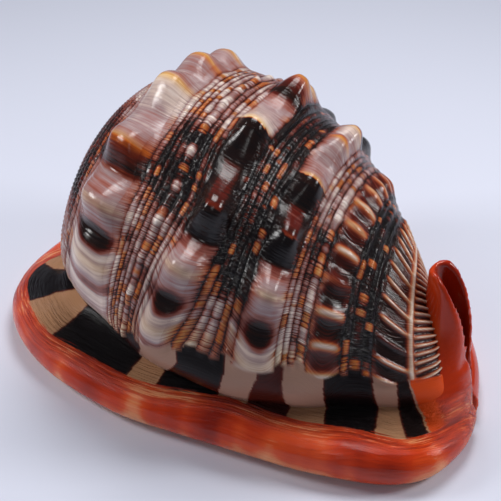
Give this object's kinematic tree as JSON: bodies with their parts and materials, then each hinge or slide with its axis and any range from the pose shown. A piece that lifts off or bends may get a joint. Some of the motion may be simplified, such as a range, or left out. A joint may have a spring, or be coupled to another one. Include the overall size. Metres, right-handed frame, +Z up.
{
  "type": "helmet shell",
  "caption": "Large knobbed sea snail shell with a thick rolled lip, a toothed slit mouth underneath and an upturned canal, lying mouth down.",
  "frame": {"origin": "on the table under the middle of the shell", "axes": "+X along the coiling axis towards the canal, -Y towards the rolled lip, +Z up from the table"},
  "size_m": [0.1504, 0.1082, 0.0867],
  "materials": {
    "shell": "polished natural shell: dark brown and cream knobs, reddish orange lip"
  },
  "bodies": {
    "root": {"shell": "shell"}
  },
  "joints": []
}
